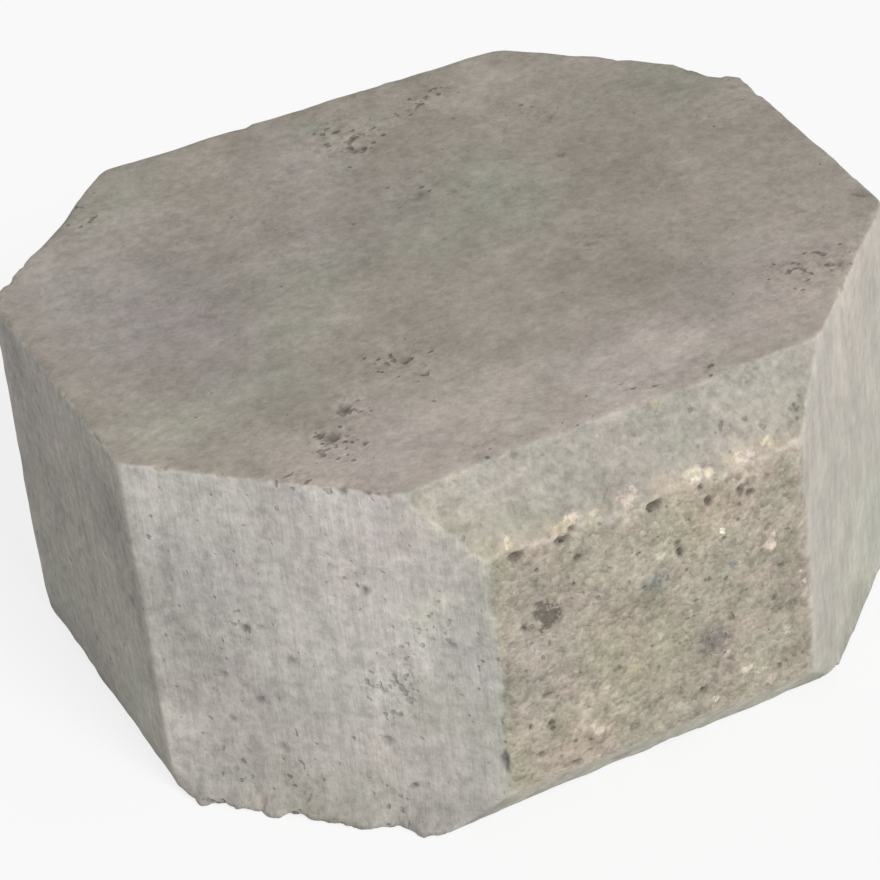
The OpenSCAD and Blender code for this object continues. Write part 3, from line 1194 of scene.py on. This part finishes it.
# %% Pitted places
# Each pitted place: where, its size, and how open the paste is from 0 to 1.
PITTED = [
    (top_at(8, 66), 17, 1.0),
    (top_at(30, 72), 12, 0.9),
    (top_at(-2, 58), 9, 0.7),
    (top_at(50, 50), 10, 0.7),
    (top_at(48, 27), 8, 0.8),
    (top_at(8, 30), 9, 0.7),
    (top_at(34, -20), 9, 0.6),
    (top_at(-30, -41), 9, 0.9),
    (top_at(-50, -52), 9, 0.9),
    (top_at(-58, -62), 11, 1.0),
    (top_at(-74, -78), 13, 0.8),
    (top_at(74, -60), 13, 0.9),
    (top_at(12, -84), 13, 0.7),
    (top_at(34, -92), 11, 0.7),
    (top_at(-22, -90), 11, 0.7),
    (top_at(96, 20), 12, 0.6),
    (top_at(-72, 72), 12, 0.8),
    (on_side(FRONT_LEFT, 22, 46), 13, 1.0),
    (on_side(FRONT_LEFT, 14, 26), 10, 0.6),
    (on_side(FRONT_LEFT, -24, 40), 15, 0.7),
    (on_side(FRONT_LEFT, -18, 54), 11, 0.8),
    (on_side(FRONT_LEFT, 12, 71), 8, 0.7),
    (on_side(FRONT_LEFT, 33, 58), 11, 0.8),
    (on_side(FRONT_LEFT, -30, 12), 14, 0.8),
    (on_side(FRONT_LEFT, -10, 12), 14, 0.8),
    (on_side(FRONT_LEFT, 14, 4), 12, 0.7),
    (on_side(FRONT_LEFT, 20, 98), 9, 0.6),
    (on_side(FRONT, 24, 97), 12, 0.9),
    (on_side(FRONT, 8, 98), 9, 0.7),
    (on_side(FRONT, -24, 95), 11, 0.8),
    (on_side(FRONT, -12, 90), 9, 0.7),
    (on_side(FRONT, 38, 92), 10, 0.8),
]
OPEN_BEVELS = dict.fromkeys(BEVELS, 0.5)
OPEN_FACES = {TOP: 0.35, FRONT_LEFT: 0.55, LEFT: 0.5, BACK_LEFT: 0.4, FRONT: 0.6, BACK: 0.6} | OPEN_BEVELS
OPEN_FOOT = 0.9
pitted = sum(openness * share[:, plane] for plane, openness in OPEN_FACES.items())
for place, size, strength in PITTED:
    pitted = np.maximum(pitted, strength * blob(place, size))
pitted = np.maximum(pitted, OPEN_FOOT * near_foot)
print(len(PITTED), "pitted places")


# %% Store the attributes
def store(name, values):
    """Keeps one number, or one colour, at each point of the mesh."""
    kind = "FLOAT" if values.ndim == 1 else "FLOAT_COLOR"
    layer = mesh.attributes.new(name, kind, "POINT")
    if kind == "FLOAT":
        layer.data.foreach_set("value", values.astype(np.float32))
    else:
        with_alpha = np.column_stack([values, np.ones(len(values))])
        layer.data.foreach_set("color", with_alpha.astype(np.float32).ravel())


store("finish", finish)
store("wear", wear)
store("chipped", chipped)
store("hollow", hollow)
store("stone", stone_depth)
store("stone_and_highlight_tone", stone_and_highlight_tone)
store("tint_and_painted_shade_light", tint_and_painted_shade_light)
store("pitted", pitted)
print("stored", [layer.name for layer in mesh.attributes if not layer.is_internal])

# %% [markdown]
# ## Grain of the concrete
#
# Seen close, all four finishes are the same few things in other amounts: sand, crumbs with the pits between
# them, drag lines and broken gravel. Each is a node group with its own inputs, so the finishes share them.
# A group gives masks, colours, tones about zero, and heights that the material turns to millimetres.


# %% Node group helpers
def new_group(name, inputs, outputs):
    """An empty shader node group: inputs and outputs are lists of (name, socket kind, start value)."""
    group = bpy.data.node_groups.new(name, "ShaderNodeTree")
    for label, kind, value in inputs:
        socket = group.interface.new_socket(label, in_out="INPUT", socket_type=kind)
        if value is not None:
            socket.default_value = value
    for label, kind in outputs:
        group.interface.new_socket(label, in_out="OUTPUT", socket_type=kind)
    return group, group.nodes.new("NodeGroupInput").outputs, group.nodes.new("NodeGroupOutput").inputs


def outputs_of(group):
    """The names of what a group puts out."""
    return [item.name for item in group.interface.items_tree if item.in_out == "OUTPUT"]


def use_group(tree, group, **values):
    """Places a group and feeds its inputs by name. Returns its outputs."""
    node = add_node(tree, "ShaderNodeGroup", node_tree=group)
    for label, value in values.items():
        feed(tree, node.inputs[label.replace("_", " ").capitalize()], value)
    return node.outputs


def vector_sum(tree, operation, *values):
    """One sum on vectors, such as MULTIPLY or ADD."""
    node = add_node(tree, "ShaderNodeVectorMath", operation=operation)
    for socket, value in zip(node.inputs, values):
        feed(tree, socket, value)
    return node.outputs[0]


def soft_clouds(tree, position, size, layers=3.0, roughness=0.55):
    """Blender's noise with blobs of that size in millimetres, from 0 to 1."""
    node = add_node(tree, "ShaderNodeTexNoise")
    feed(tree, node.inputs["Vector"], position)
    feed(tree, node.inputs["Scale"], calc(tree, "DIVIDE", 1.0, size))
    feed(tree, node.inputs["Detail"], layers)
    feed(tree, node.inputs["Roughness"], roughness)
    return node.outputs[0]


def spots(tree, position, size):
    """Blender's Voronoi cells of that size in millimetres: distance in cells, and each cell's colour."""
    node = add_node(tree, "ShaderNodeTexVoronoi")
    feed(tree, node.inputs["Vector"], position)
    feed(tree, node.inputs["Scale"], calc(tree, "DIVIDE", 1.0, size))
    return node.outputs["Distance"], node.outputs["Color"]


def channels(tree, colour):
    """The three numbers of a colour."""
    node = add_node(tree, "ShaderNodeSeparateColor")
    feed(tree, node.inputs[0], colour)
    return node.outputs


VECTOR, NUMBER, COLOUR = "NodeSocketVector", "NodeSocketFloat", "NodeSocketColor"


# %% Sand
def make_sand():
    """Packed grains of one size: each has its own tone, and the joints between them lie lower."""
    given_sockets = [("Position", VECTOR, None), ("Size", NUMBER, 1.0)]
    tree, given, out = new_group("sand", given_sockets, [("Tone", NUMBER), ("Height", NUMBER)])
    distance, colour = spots(tree, given["Position"], given["Size"])
    feed(tree, out["Tone"], calc(tree, "SUBTRACT", channels(tree, colour)[0], 0.5))
    feed(tree, out["Height"], calc(tree, "SUBTRACT", 0.5, distance))
    return tree


sand = make_sand()
print("sand gives", outputs_of(sand))

# %% Crumbs
def make_crumbs():
    """Fine noise, and soft pits where a coarser noise is lowest: both grow with how open the paste is."""
    given_sockets = [("Position", VECTOR, None), ("Size", NUMBER, 1.5), ("Pitted", NUMBER, 0.0)]
    tree, given, out = new_group("crumbs", given_sockets, [("Tone", NUMBER), ("Pits", NUMBER)])
    fine = soft_clouds(tree, given["Position"], given["Size"], 3.0, 0.7)
    coarse = soft_clouds(tree, given["Position"], calc(tree, "MULTIPLY", given["Size"], 0.9), 1.0, 0.5)
    full = calc(tree, "MULTIPLY", given["Pitted"], 0.34)
    empty = calc(tree, "ADD", full, 0.13)
    share = calc(tree, "ADD", given["Pitted"], 0.45)
    feed(tree, out["Tone"], calc(tree, "MULTIPLY", calc(tree, "SUBTRACT", fine, 0.5), share))
    feed(tree, out["Pits"], ramp(tree, coarse, full, empty, 1.0, 0.0))
    return tree


crumbs = make_crumbs()
print("crumbs give", outputs_of(crumbs))

# %% Drag lines
def make_drag_lines():
    """Upright scratches from lifting the block out of its mould: noise stretched along Z."""
    tree, given, out = new_group("drag_lines", [("Position", VECTOR, None)], [("Tone", NUMBER)])
    stretched = vector_sum(tree, "MULTIPLY", given["Position"], (1, 1, 0.14))
    lines = soft_clouds(tree, stretched, 3.4, 3.0, 0.8)
    feed(tree, out["Tone"], calc(tree, "SUBTRACT", lines, 0.5))
    return tree


drag_lines = make_drag_lines()
print("drag lines give", outputs_of(drag_lines))

# %% Gravel
GRAVEL_TONES = [
    (0.00, (0.225, 0.203, 0.168)),
    (0.14, (0.300, 0.268, 0.216)),
    (0.32, (0.400, 0.357, 0.288)),
    (0.52, (0.335, 0.310, 0.258)),
    (0.66, (0.435, 0.378, 0.312)),
    (0.80, (0.490, 0.442, 0.356)),
    (0.94, (0.610, 0.556, 0.458)),
]


def make_gravel():
    """Stones shown in a break: a share of the cells, each with a ragged rim and a colour of its own."""
    given_sockets = [("Position", VECTOR, None), ("Size", NUMBER, 4.0), ("Share", NUMBER, 0.3)]
    made_sockets = [("Mask", NUMBER), ("Colour", COLOUR), ("Height", NUMBER)]
    tree, given, out = new_group("gravel", given_sockets, made_sockets)
    shaken = soft_clouds(tree, given["Position"], calc(tree, "MULTIPLY", given["Size"], 0.5), 3.0, 0.7)
    distance, colour = spots(tree, given["Position"], given["Size"])
    ragged_distance = calc(tree, "MULTIPLY_ADD", calc(tree, "SUBTRACT", shaken, 0.5), 1.2, distance)
    number, kind, width = channels(tree, colour)
    chosen = calc(tree, "LESS_THAN", number, given["Share"])
    radius = calc(tree, "MULTIPLY_ADD", width, 0.25, 0.22)
    within = ramp(tree, calc(tree, "SUBTRACT", radius, ragged_distance), -0.16, 0.16)
    inside = calc(tree, "MULTIPLY", within, chosen)
    palette = add_node(tree, "ShaderNodeValToRGB")
    palette.color_ramp.interpolation = "CONSTANT"
    palette.color_ramp.elements.remove(palette.color_ramp.elements[1])
    palette.color_ramp.elements[0].color = (*GRAVEL_TONES[0][1], 1)
    for place, tone in GRAVEL_TONES[1:]:
        palette.color_ramp.elements.new(place).color = (*tone, 1)
    feed(tree, palette.inputs[0], kind)
    feed(tree, out["Mask"], inside)
    feed(tree, out["Colour"], palette.outputs[0])
    feed(tree, out["Height"], calc(tree, "MULTIPLY", inside, calc(tree, "SUBTRACT", radius, distance)))
    return tree


gravel = make_gravel()
print("gravel gives", outputs_of(gravel))

# %% [markdown]
# ## The concrete itself
#
# One material covers the block, because it is one casting and the finishes run into each other at worn
# arrises. Each finish is a function that returns a colour and a height: its own paste, then how strongly
# each kind of grain tones it and how many millimetres it stands up. They are laid over one another by the
# `finish` attribute. Then come the things that cross all of them: chips that bare the torn stone, the named
# stones with their ragged rims, painted shade in the hollows, arrises paler from wear and as a painted
# highlight, the stains with the painted shade and light stored beside them, and a faint drift of hue,
# because dry mix never comes out of one batch.


# %% Helpers for tones and heights
def lit_by(tree, colour, *tones):
    """The colour times one plus each tone times its strength."""
    total = 1.0
    for tone, strength in tones:
        total = calc(tree, "MULTIPLY_ADD", tone, strength, total)
    node = add_node(tree, "ShaderNodeVectorMath", operation="SCALE")
    feed(tree, node.inputs[0], colour)
    feed(tree, node.inputs["Scale"], total)
    return node.outputs[0]


def height_sum(tree, *parts):
    """Adds up (height, amount in millimetres) pairs."""
    total = 0.0
    for height, amount in parts:
        total = calc(tree, "MULTIPLY_ADD", height, amount, total)
    return total


# %% Struck top and moulded side
TOP_PASTE = [(0.334, 0.300, 0.256), (0.373, 0.338, 0.292)]
SIDE_PASTE = [(0.460, 0.438, 0.406), (0.520, 0.495, 0.457)]


def struck_top(tree, grain):
    """Taupe paste struck off level: open, sandy, with pits where the mix was dry."""
    colour = mix_colour(tree, grain["broad"], *TOP_PASTE)
    tones = [
        (grain["blotch"], 0.58),
        (grain["crumb"], 0.85),
        (grain["sand"]["Tone"], 0.07),
        (grain["pits"], -0.46),
    ]
    heights = [
        (grain["blotch"], 0.3),
        (grain["crumb"], 0.20),
        (grain["sand"]["Height"], 0.08),
        (grain["pits"], -0.3),
    ]
    return lit_by(tree, colour, *tones), height_sum(tree, *heights)


def moulded_side(tree, grain):
    """Pale grey skin of fine cement that slid along the steel: drag lines and few pits."""
    colour = mix_colour(tree, grain["broad"], *SIDE_PASTE)
    tones = [(grain["lines"], 0.52), (grain["blotch"], 0.42), (grain["crumb"], 0.92), (grain["pits"], -0.30)]
    heights = [(grain["lines"], 0.40), (grain["blotch"], 0.3), (grain["crumb"], 0.22), (grain["pits"], -0.3)]
    return lit_by(tree, colour, *tones), height_sum(tree, *heights)


print("paste of the top", TOP_PASTE[0], "and of the sides", SIDE_PASTE[0])

# %% Smooth bevel and torn stone
BEVEL_PASTE = [(0.328, 0.309, 0.267), (0.370, 0.346, 0.301)]
TORN_PASTE = [(0.324, 0.293, 0.234), (0.405, 0.365, 0.297)]
GRAVEL_SIZE = 3.4
GRAVEL_SHARE = 0.6


def smooth_bevel(tree, grain):
    """Beige grey skin pressed by the ridge of the mould, a little sandier than the sides."""
    colour = mix_colour(tree, grain["broad"], *BEVEL_PASTE)
    tones = [
        (grain["blotch"], 0.80),
        (grain["crumb"], 0.95),
        (grain["sand"]["Tone"], 0.18),
        (grain["pits"], -0.34),
    ]
    heights = [
        (grain["blotch"], 0.3),
        (grain["crumb"], 0.24),
        (grain["sand"]["Height"], 0.12),
        (grain["pits"], -0.3),
    ]
    return lit_by(tree, colour, *tones), height_sum(tree, *heights)


def torn_stone(tree, position, grain):
    """Olive and tan paste broken open: strong sand, gravel and the sockets it left."""
    colour = mix_colour(tree, grain["broad"], *TORN_PASTE)
    bits = use_group(tree, gravel, position=position, size=GRAVEL_SIZE, share=GRAVEL_SHARE)
    colour = mix_colour(tree, calc(tree, "MULTIPLY", bits["Mask"], 0.55), colour, bits["Colour"])
    tones = [
        (grain["blotch"], 0.75),
        (grain["crumb"], 0.95),
        (grain["sand"]["Tone"], 0.32),
        (grain["pits"], -0.36),
    ]
    heights = [
        (grain["blotch"], 0.3),
        (grain["crumb"], 0.35),
        (grain["sand"]["Height"], 0.30),
        (bits["Height"], 0.5),
        (grain["pits"], -0.4),
    ]
    return lit_by(tree, colour, *tones), height_sum(tree, *heights)


print("paste of the bevels", BEVEL_PASTE[0], "and of the torn stone", TORN_PASTE[0])


# %% Grain of every finish
def attribute(tree, name, output="Fac"):
    """Reads one of the mesh's stored attributes."""
    return add_node(tree, "ShaderNodeAttribute", attribute_name=name).outputs[output]


def grain_of(tree, position):
    """The kinds of grain that the finishes share: tones about zero, but `broad` and `pits` go from 0 to 1."""
    crumb = use_group(tree, crumbs, position=position, size=2.7, pitted=attribute(tree, "pitted"))
    return {
        "broad": ramp(tree, soft_clouds(tree, position, 17, 2.0, 0.6), 0.32, 0.68),
        "blotch": calc(tree, "SUBTRACT", soft_clouds(tree, position, 9.0, 4.0, 0.75), 0.5),
        "crumb": crumb["Tone"],
        "pits": crumb["Pits"],
        "sand": use_group(tree, sand, position=position, size=1.15),
        "lines": use_group(tree, drag_lines, position=position)["Tone"],
    }


def laid_finishes(tree, position, grain, torn_share, top_share, bevel_share):
    """The moulded side with the other finishes laid over it, each by its share. Chips are torn stone too."""
    bared = calc(tree, "MAXIMUM", torn_share, attribute(tree, "chipped"))
    ragged_bare = calc(tree, "MULTIPLY_ADD", grain["blotch"], 1.2, bared)
    colour, height = moulded_side(tree, grain)
    layers = [
        (ramp(tree, top_share, 0.3, 0.7), struck_top(tree, grain)),
        (ramp(tree, bevel_share, 0.3, 0.7), smooth_bevel(tree, grain)),
        (ramp(tree, ragged_bare, 0.2, 0.8), torn_stone(tree, position, grain)),
    ]
    for cover, (layer_colour, layer_height) in layers:
        colour = mix_colour(tree, cover, colour, layer_colour)
        height = calc(tree, "MULTIPLY_ADD", calc(tree, "SUBTRACT", layer_height, height), cover, height)
    return colour, height


print("kinds of grain: broad, blotch, crumb, pits, sand, lines")


# %% Stones, wear, stains and hue
HOLLOW_SHADE = -0.60
# how much paler arrises are, partly wear and partly painted highlight
ARRIS_WEAR_AND_HIGHLIGHT = 0.10
HUE_SIZE = 13
GREENER_PASTE = (0.972, 1.010, 0.985)
PINKER_PASTE = (1.028, 0.989, 1.012)


def with_stones(tree, position, grain, colour):
    """The named stones over the colour: their stored shape, its rim frayed by noise, in their own tones,
    along the lip partly painted highlight.
    """
    shaken_stone = calc(tree, "MULTIPLY_ADD", grain["blotch"], 1.4, attribute(tree, "stone"))
    fray = calc(tree, "SUBTRACT", soft_clouds(tree, position, 1.6, 3.0, 0.75), 0.5)
    ragged_stone = calc(tree, "MULTIPLY_ADD", fray, 2.6, shaken_stone)
    stone_tones = [(grain["blotch"], 1.2), (grain["crumb"], 1.2), (grain["sand"]["Tone"], 0.4)]
    stone_colour = lit_by(tree, attribute(tree, "stone_and_highlight_tone", "Color"), *stone_tones)
    stone_cover = ramp(tree, ragged_stone, -0.20, 0.45, 0.0, 0.90)
    return mix_colour(tree, stone_cover, colour, stone_colour)


def with_age(tree, position, grain, colour, torn_share):
    """Painted shade in hollows, arrises worn and painted pale, stains with painted shade and light, and the
    drift of hue, strongest on the torn face.
    """
    patchy_wear = calc(tree, "MULTIPLY", attribute(tree, "wear"), grain["broad"])
    # painted shade in the hollows and pits, and arrises paler, partly worn and partly painted highlight
    colour = lit_by(tree, colour, (attribute(tree, "hollow"), HOLLOW_SHADE), (patchy_wear, ARRIS_WEAR_AND_HIGHLIGHT))
    # the stored stains, with painted shade and painted highlights
    colour = mix_colour(tree, 1.0, colour, attribute(tree, "tint_and_painted_shade_light", "Color"), "MULTIPLY")
    hue_place = ramp(tree, soft_clouds(tree, position, HUE_SIZE, 3.0, 0.7), 0.35, 0.65)
    hue = mix_colour(tree, hue_place, GREENER_PASTE, PINKER_PASTE)
    return mix_colour(tree, calc(tree, "MULTIPLY_ADD", torn_share, 0.65, 0.35), colour, hue, "MULTIPLY")


print("hue drifts over", HUE_SIZE, "mm")


# %% The material
def make_concrete():
    """Grain, then the finishes by their shares, then stones, stains, painted shade and highlights, and hue.
    """
    material = bpy.data.materials.new("weathered_concrete")
    material.use_nodes = True
    tree = material.node_tree
    metres = add_node(tree, "ShaderNodeTexCoord").outputs["Object"]
    position = vector_sum(tree, "MULTIPLY", metres, (1 / MM, 1 / MM, 1 / MM))
    grain = grain_of(tree, position)
    top_share, torn_share, bevel_share = channels(tree, attribute(tree, "finish", "Color"))
    colour, height = laid_finishes(tree, position, grain, torn_share, top_share, bevel_share)
    colour = with_stones(tree, position, grain, colour)
    colour = with_age(tree, position, grain, colour, torn_share)

    skin_shader = tree.nodes["Principled BSDF"]
    skin_shader.inputs["Specular IOR Level"].default_value = 0.25
    feed(tree, skin_shader.inputs["Base Color"], colour)
    feed(tree, skin_shader.inputs["Roughness"], ramp(tree, grain["blotch"], -0.2, 0.2, 0.98, 0.86))
    bump = add_node(tree, "ShaderNodeBump")
    bump.inputs["Distance"].default_value = MM
    feed(tree, bump.inputs["Height"], height)
    feed(tree, skin_shader.inputs["Normal"], bump.outputs[0])
    return material


mesh.materials.append(make_concrete())
print("material", mesh.materials[0].name, "has", len(mesh.materials[0].node_tree.nodes), "nodes")
